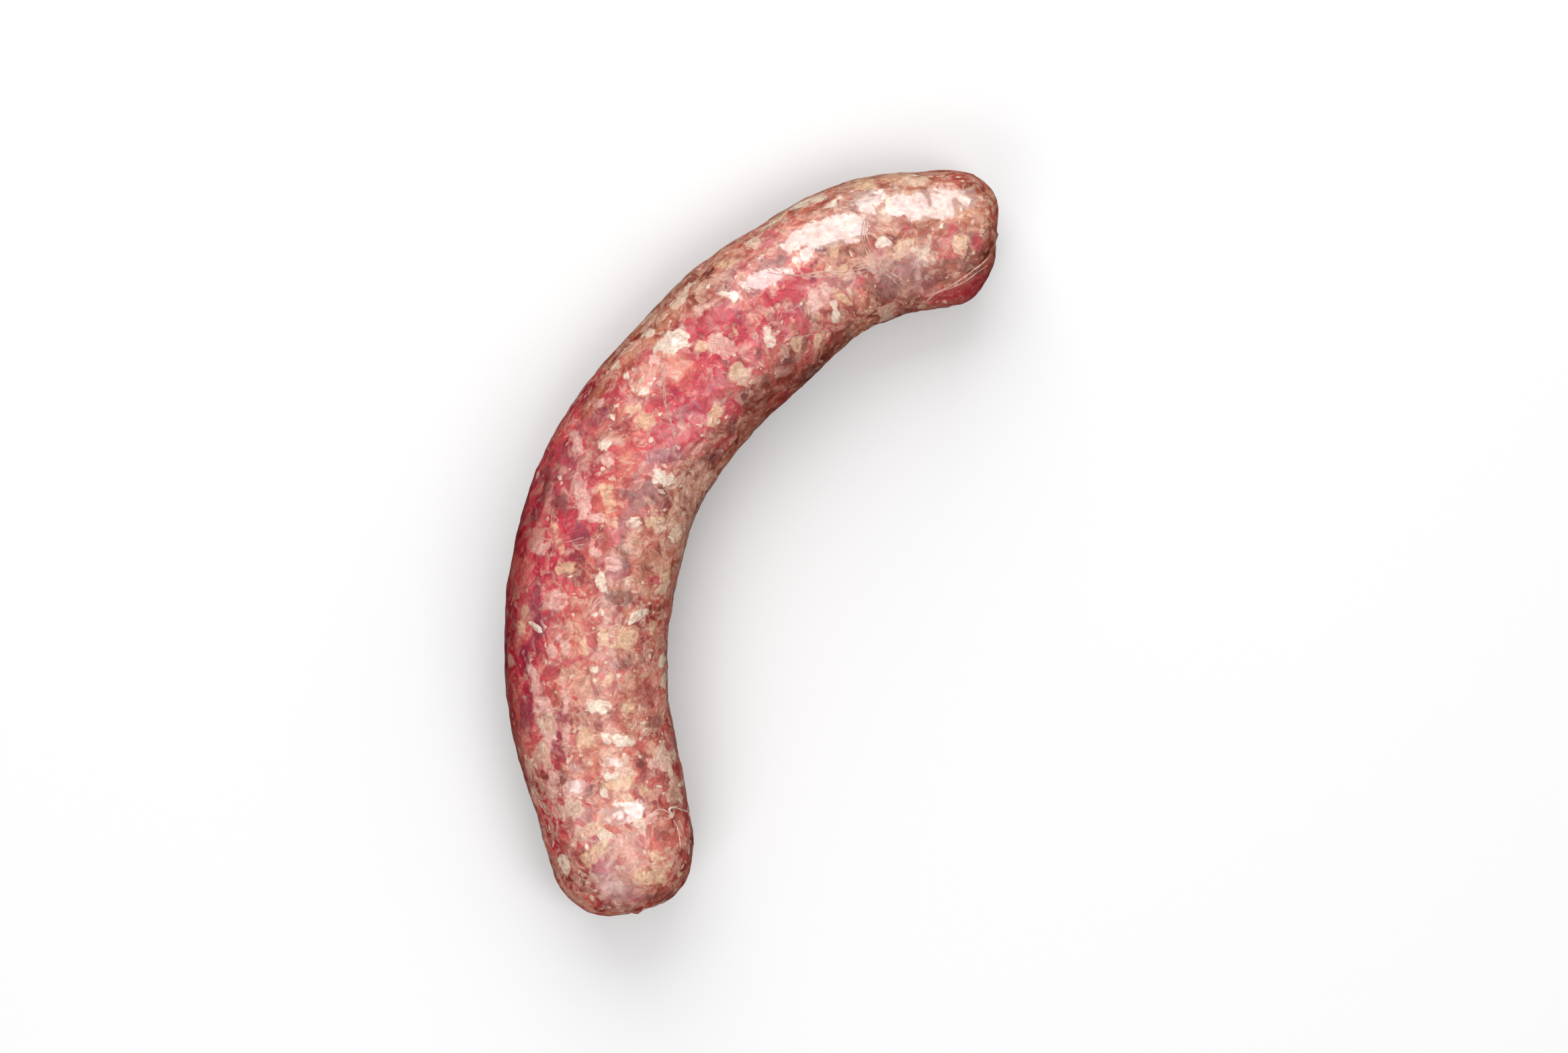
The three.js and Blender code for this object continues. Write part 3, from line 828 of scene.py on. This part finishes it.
# The sinew threads: ends of gut and sinew that cling to the casing, wet, flat and half clear. Each is
# drawn along the casing, half sunk into it, and they are joined into one piece.
THREADS = (  # half the breadth in mm, then the places along and across that the thread runs through
    (
        0.25,
        (24.3, 6.9), (25.6, 5.9), (26.7, 4.1), (27.1, 2.3), (27.1, 0.1),
        (26.9, -2.6), (25.7, -4.7), (24.2, -6.5), (22.3, -8.2), (20.7, -10.0),
    ),
    (
        0.19,
        (26.3, 5.8), (27.8, 3.2), (28.2, 0.7), (28.1, -1.9), (27.4, -4.2),
        (25.5, -6.5), (23.7, -8.6), (22.2, -10.8),
    ),
    (0.11, (27.1, 4.0), (27.8, 1.1), (27.5, -1.5), (26.7, -4.0), (24.8, -6.4), (22.9, -7.6)),
    (
        0.2,
        (27.3, -4.2), (29.5, -3.8), (32.1, -3.4), (34.9, -2.5), (37.0, -1.2),
        (39.2, -0.2), (42.3, 1.3), (45.5, 3.8), (47.3, 5.9),
    ),
    (0.15, (28.1, -4.7), (31.7, -4.3), (34.6, -3.6), (37.3, -2.3), (40.2, -0.5), (42.9, 1.6), (45.0, 3.3)),
    (0.15, (47.3, 10.9), (47.1, 9.0), (46.9, 6.9), (46.5, 5.2)),
    (0.12, (46.0, 10.2), (46.2, 8.4), (46.0, 6.3), (45.2, 4.2)),
    (0.11, (52.6, -6.0), (51.1, -7.9), (48.5, -9.2), (45.1, -10.6), (41.3, -11.6)),
    (
        0.33,
        (17.4, -13.7), (16.0, -12.5), (14.7, -11.7), (12.4, -10.8), (9.5, -9.5),
        (6.5, -7.7), (4.3, -6.2), (2.0, -4.1),
    ),
    (0.18, (13.5, -11.4), (8.8, -10.0), (5.6, -8.1), (3.0, -6.5)),
    (0.12, (72.9, 6.4), (75.1, 4.4), (77.3, 2.9), (79.1, 1.2), (80.9, -1.3), (82.8, -4.1), (85.0, -6.5)),
    (0.11, (73.6, 6.2), (76.5, 3.4), (79.4, 0.4), (81.5, -2.3), (83.8, -5.1)),
    (0.12, (112.3, 6.7), (111.3, 4.6), (110.1, 2.6)),
    (0.1, (112.4, 5.0), (112.0, 3.5), (111.5, 2.2)),
    (0.1, (112.2, 11.7), (112.3, 9.9), (112.4, 8.2)),
    (0.15, (106.5, -5.2), (107.5, -6.5), (108.1, -8.1), (108.2, -10.0)),
    (0.15, (107.7, -5.8), (108.7, -7.5), (109.4, -9.4)),
    (0.15, (122.9, -1.5), (121.3, -2.8), (119.9, -4.0)),
    (0.12, (123.1, -2.2), (121.7, -3.4), (120.3, -4.6)),
    (0.21, (132.8, -5.7), (135.1, -5.8), (136.3, -5.3), (137.6, -4.2)),
    (0.15, (127.0, 3.1), (128.0, 3.7), (129.0, 4.2)),
    (0.22, (147.8, -9.7), (149.1, -9.3), (150.3, -8.3)),
    (0.18, (148.7, -10.6), (150.0, -10.1), (150.9, -9.1)),
    (0.18, (134.2, 7.2), (135.0, 7.0), (135.8, 7.3)),
    (0.12, (175.2, -5.8), (176.6, -4.0), (178.3, -1.7)),
    (0.12, (175.0, -4.8), (176.5, -3.0), (177.7, -1.4)),
    (0.12, (152.6, 1.1), (153.4, -0.4), (154.4, -1.7)),
)
THREAD_STEP = 0.5
THREAD_COLUMNS = 8
THREAD_HEIGHT = 0.6
CAST_FROM = 0.1
bpy.context.view_layer.update()


def above_casing(along, across, lift):
    """A place in metres over the casing, at a place along and across in mm and a lift in mm."""
    x, y, heading = centreline(along)
    x += math.sin(heading) * across
    y -= math.cos(heading) * across
    hit, point, _, _ = casing.ray_cast(Vector((x * MM, y * MM, CAST_FROM)), Vector((0, 0, -1)))
    return Vector((x * MM, y * MM, (point.z if hit else 0) + lift * MM))


def run_through(places):
    """Places about a step apart on a smooth line through the given ones."""
    ends = [places[0]] + list(places) + [places[-1]]
    line = []
    for before, first, second, after in zip(ends, ends[1:], ends[2:], ends[3:]):
        steps = max(2, round(math.dist(first, second) / THREAD_STEP))
        for i in range(steps):
            t = i / steps
            weights = (
                (-t + 2 * t**2 - t**3) / 2,
                (2 - 5 * t**2 + 3 * t**3) / 2,
                (t + 4 * t**2 - 3 * t**3) / 2,
                (t**3 - t**2) / 2,
            )
            corners = (before, first, second, after)
            line.append([sum(w * c[axis] for w, c in zip(weights, corners)) for axis in range(len(first))])
    return line + [list(places[-1])]


def draw_thread(name, breadth, line):
    """Draws a flat thread along places in metres, uneven, and thinning out at both ends."""
    rings = []
    for i, point in enumerate(line):
        before, after = line[max(i - 1, 0)], line[min(i + 1, len(line) - 1)]
        heading = math.atan2(after.y - before.y, after.x - before.x)
        if rings:
            heading = rings[-1][1] + math.remainder(heading - rings[-1][1], 2 * math.pi)
        share = min(i + 0.5, len(line) - i - 0.5) / len(line) * 2
        uneven = 0.8 + 0.2 * math.sin(i * 0.8 + breadth * 50)
        rings.append((point, heading, breadth * MM * uneven * min(1, 0.25 + 3 * share)))
    return draw_tube(name, THREAD_COLUMNS, rings, THREAD_HEIGHT)


def join_as(name, pieces):
    """Joins pieces into the first of them, under a name of its own."""
    joined = pieces[0]
    bpy.ops.object.select_all(action="DESELECT")
    for piece in pieces:
        piece.select_set(True)
    bpy.context.view_layer.objects.active = joined
    bpy.ops.object.join()
    joined.name = name
    return joined


threads = []
for number, (breadth, *places) in enumerate(THREADS):
    line = [above_casing(along, across, -0.1 * breadth) for along, across in run_through(places)]
    threads.append(draw_thread("thread_" + str(number), breadth, line))
sinew = join_as("sinew_threads", threads)
finish_with(sinew, "SUBSURF", levels=1, render_levels=1)


def sinew_material(name, thin, thick):
    """Wet, half clear sinew or gut, from the colour of its thin parts to that of its thick ones."""
    material = bpy.data.materials.new(name)
    material.use_nodes = True
    tree = material.node_tree
    tree.nodes.clear()
    place = Flow(tree).node("ShaderNodeTexCoord", {}, output="Object") * (1 / MM)
    skin = place.noise(1.3, 2.0).step(0.35, 0.62).blend(colour(*thin), colour(*thick))
    surface = skin.node(
        "ShaderNodeBsdfPrincipled",
        {
            "Base Color": skin,
            "Roughness": 0.28,
            "Subsurface Weight": 0.3,
            "Subsurface Radius": (1.0, 0.5, 0.4),
            "Subsurface Scale": 0.5 * MM,
            "Coat Weight": 0.5,
        },
    )
    out = tree.nodes.new("ShaderNodeOutputMaterial")
    tree.links.new(surface.socket, out.inputs["Surface"])
    return material


sinew.data.materials.append(sinew_material("wet_sinew", (206, 134, 120), (234, 184, 166)))
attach(sinew, "root")


# The loose strand: a kinked, flat end of gut that lies over the inner side of the lower end, with two
# thin tails that cling to the casing.
STRAND = (  # half the breadth, then the places along and across and how far it stands off, in mm
    (
        0.2,
        (168.4, -8.3, 0), (167.7, -8.9, 0.05), (167.4, -9.7, 0.1), (167.7, -10.6, 0.2),
        (168.2, -11.2, 0.3), (168.9, -11.7, 0.3), (169.5, -11.9, 0.3), (169.8, -11.4, 0.25),
        (169.8, -10.7, 0.2),
    ),
    (
        0.27,
        (169.7, -11.0, 0.1), (169.9, -11.9, 0.2), (169.3, -12.2, 0.3), (168.5, -11.8, 0.45),
        (168.0, -11.8, 0.4), (167.8, -12.4, 0.35), (168.2, -13.3, 0.3), (168.9, -14.0, 0.3),
        (169.5, -14.7, 0.2), (170.3, -15.1, 0.1), (171.1, -15.0, 0),
    ),
    (0.13, (170.1, -11.9, 0), (171.2, -12.3, 0), (172.6, -12.5, 0), (174.7, -12.3, 0), (176.7, -12.0, 0)),
    (0.11, (170.7, -13.1, 0), (172.2, -13.3, 0), (174.1, -13.4, 0)),
)
strand_parts = []
for number, (breadth, *places) in enumerate(STRAND):
    line = [above_casing(along, across, lift) for along, across, lift in run_through(places)]
    strand_parts.append(draw_thread("strand_" + str(number), breadth, line))
loose_strand = join_as("loose_strand", strand_parts)
finish_with(loose_strand, "SUBSURF", levels=1, render_levels=1)
loose_strand.data.materials.append(sinew_material("wet_gut", (228, 168, 150), (250, 222, 206)))
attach(loose_strand, "root")


# The flakes: scraps of gut and fat and small drops that cling to the casing. Each is a thin sheet with
# a ragged outline, pressed onto the casing, thickened and rounded, and they are joined into one piece.
FLAKES = (  # place along and across, half the length and breadth, turn in degrees, thickness, seed
    ("crumpled scrap of gut", 128.3, 9.6, 1.9, 0.7, -55, 0.22, 3),
    ("leaf of fat", 124.8, -10.2, 2.1, 0.7, 38, 0.25, 5),
    ("drop on the upper tip", 4.2, 0.0, 0.6, 0.55, 0, 0.4, 7),
    ("drop on the outer side", 152.2, 12.8, 0.45, 0.35, 0, 0.3, 11),
    ("drop by the strand", 163.0, -11.0, 0.6, 0.2, -60, 0.2, 13),
    ("drop at the inner edge", 164.0, -15.0, 0.5, 0.4, 80, 0.45, 17),
)
FLAKE_SIDES = 12
DROPPED_FROM = 4.0
FLAKE_ROUGHNESS = 0.4


def draw_flake(name, along, across, half_length, half_breadth, turn, thickness, seed):
    """Presses a ragged sheet onto the casing from above, and gives it a thickness."""
    bpy.ops.object.select_all(action="DESELECT")
    bpy.ops.mesh.primitive_circle_add(
        vertices=FLAKE_SIDES,
        radius=half_length * MM,
        fill_type="TRIFAN",
        location=above_casing(along, across, DROPPED_FROM),
        rotation=(0, 0, centreline(along)[2] - math.radians(turn)),
    )
    flake = bpy.context.object
    flake.name = name
    flake.scale.y = half_breadth / half_length
    bpy.ops.object.transform_apply(location=True, rotation=True, scale=True)
    bpy.ops.object.mode_set(mode="EDIT")
    bpy.ops.mesh.select_all(action="SELECT")
    bpy.ops.mesh.subdivide(number_cuts=1)
    bpy.ops.object.mode_set(mode="OBJECT")
    bpy.ops.object.shade_smooth()
    finish_with(
        flake,
        "SHRINKWRAP",
        target=casing,
        wrap_method="PROJECT",
        use_project_z=True,
        use_negative_direction=True,
        use_positive_direction=False,
    )
    bpy.ops.object.mode_set(mode="EDIT")
    bpy.ops.mesh.select_all(action="SELECT")
    bpy.ops.transform.vertex_random(offset=FLAKE_ROUGHNESS * half_breadth * MM, seed=seed)
    bpy.ops.object.mode_set(mode="OBJECT")
    finish_with(flake, "SOLIDIFY", thickness=thickness * MM, offset=0.0)
    finish_with(flake, "SUBSURF", levels=2, render_levels=2)
    return flake


flakes = [draw_flake(*flake) for flake in FLAKES]
gut_flakes = join_as("gut_flakes", flakes)
gut_flakes.data.materials.append(sinew_material("wet_flakes", (226, 176, 156), (250, 230, 208)))
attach(gut_flakes, "root")


# The floor: a plain pale sheet that the sausage lies on.
FLOOR_SIZE = 12.0
FLOOR_DROP = 0.0001
bpy.ops.object.select_all(action="DESELECT")
bpy.ops.mesh.primitive_plane_add(size=FLOOR_SIZE, location=(0, 0, -FLOOR_DROP))
floor = bpy.context.object
floor.name = "floor"
floor_material = bpy.data.materials.new("pale_floor")
floor_material.use_nodes = True
floor_surface = floor_material.node_tree.nodes["Principled BSDF"]
floor_surface.inputs["Base Color"].default_value = (0.98, 0.98, 0.98, 1)
floor_surface.inputs["Roughness"].default_value = 0.9
floor.data.materials.append(floor_material)
floor.visible_diffuse = False
floor.visible_glossy = False


# The light: a large soft box beyond the upper half, a narrow one high beside the lower half, a third
# beyond the lower end, and a sky that is brightest overhead and towards +X.
def add_softbox(name, azimuth, elevation, distance, size, radiance):
    """A rectangular lamp that faces the middle of the sausage."""
    turn = math.radians(azimuth)
    lift = math.radians(elevation)
    place = Vector((math.cos(turn) * math.cos(lift), math.sin(turn) * math.cos(lift), math.sin(lift)))
    lamp = bpy.data.lights.new(name, "AREA")
    lamp.shape = "RECTANGLE"
    lamp.size, lamp.size_y = size
    lamp.energy = radiance * math.pi * size[0] * size[1]
    box = bpy.data.objects.new(name, lamp)
    box.location = place * distance
    box.rotation_euler = (-place).to_track_quat("-Z", "Y").to_euler()
    bpy.context.scene.collection.objects.link(box)


add_softbox("key_softbox", 100, 35, 0.7, (0.68, 0.76), 2.1)
add_softbox("side_softbox", -26, 62, 0.8, (0.28, 0.5), 2.7)
add_softbox("fill_softbox", 240, 44, 0.8, (0.5, 0.5), 1.8)

world = bpy.data.worlds.new("pale_room")
world.use_nodes = True
world.node_tree.nodes.clear()
sky = Flow(world.node_tree).node("ShaderNodeTexCoord", {}, output="Generated")
bright = sky.part("Z") * 0.16 + sky.part("X") * 0.12 - sky.part("Y") * 0.02 + 0.33
glow = bright * sky.part("Z").step(-0.2, 0.12) + 0.02
background = glow.node("ShaderNodeBackground", {"Color": (1, 1, 1, 1), "Strength": glow})
world_output = world.node_tree.nodes.new("ShaderNodeOutputWorld")
world.node_tree.links.new(background.socket, world_output.inputs["Surface"])
bpy.context.scene.world = world
bpy.context.scene.view_settings.view_transform = "Standard"

# The camera: straight above, with the sausage a little left of the middle of the picture.
LENS = 85.0
SENSOR = 36.0
PICTURE_WIDTH = 319.7 * MM
PICTURE_HEIGHT_AT = 14.5 * MM
PICTURE_MIDDLE = (6.55 * MM, 3.33 * MM)
camera_data = bpy.data.cameras.new("camera")
camera_data.lens = LENS
camera_data.sensor_width = SENSOR
camera = bpy.data.objects.new("camera", camera_data)
camera.location = (*PICTURE_MIDDLE, PICTURE_HEIGHT_AT + PICTURE_WIDTH * LENS / SENSOR)
bpy.context.scene.collection.objects.link(camera)
bpy.context.scene.camera = camera
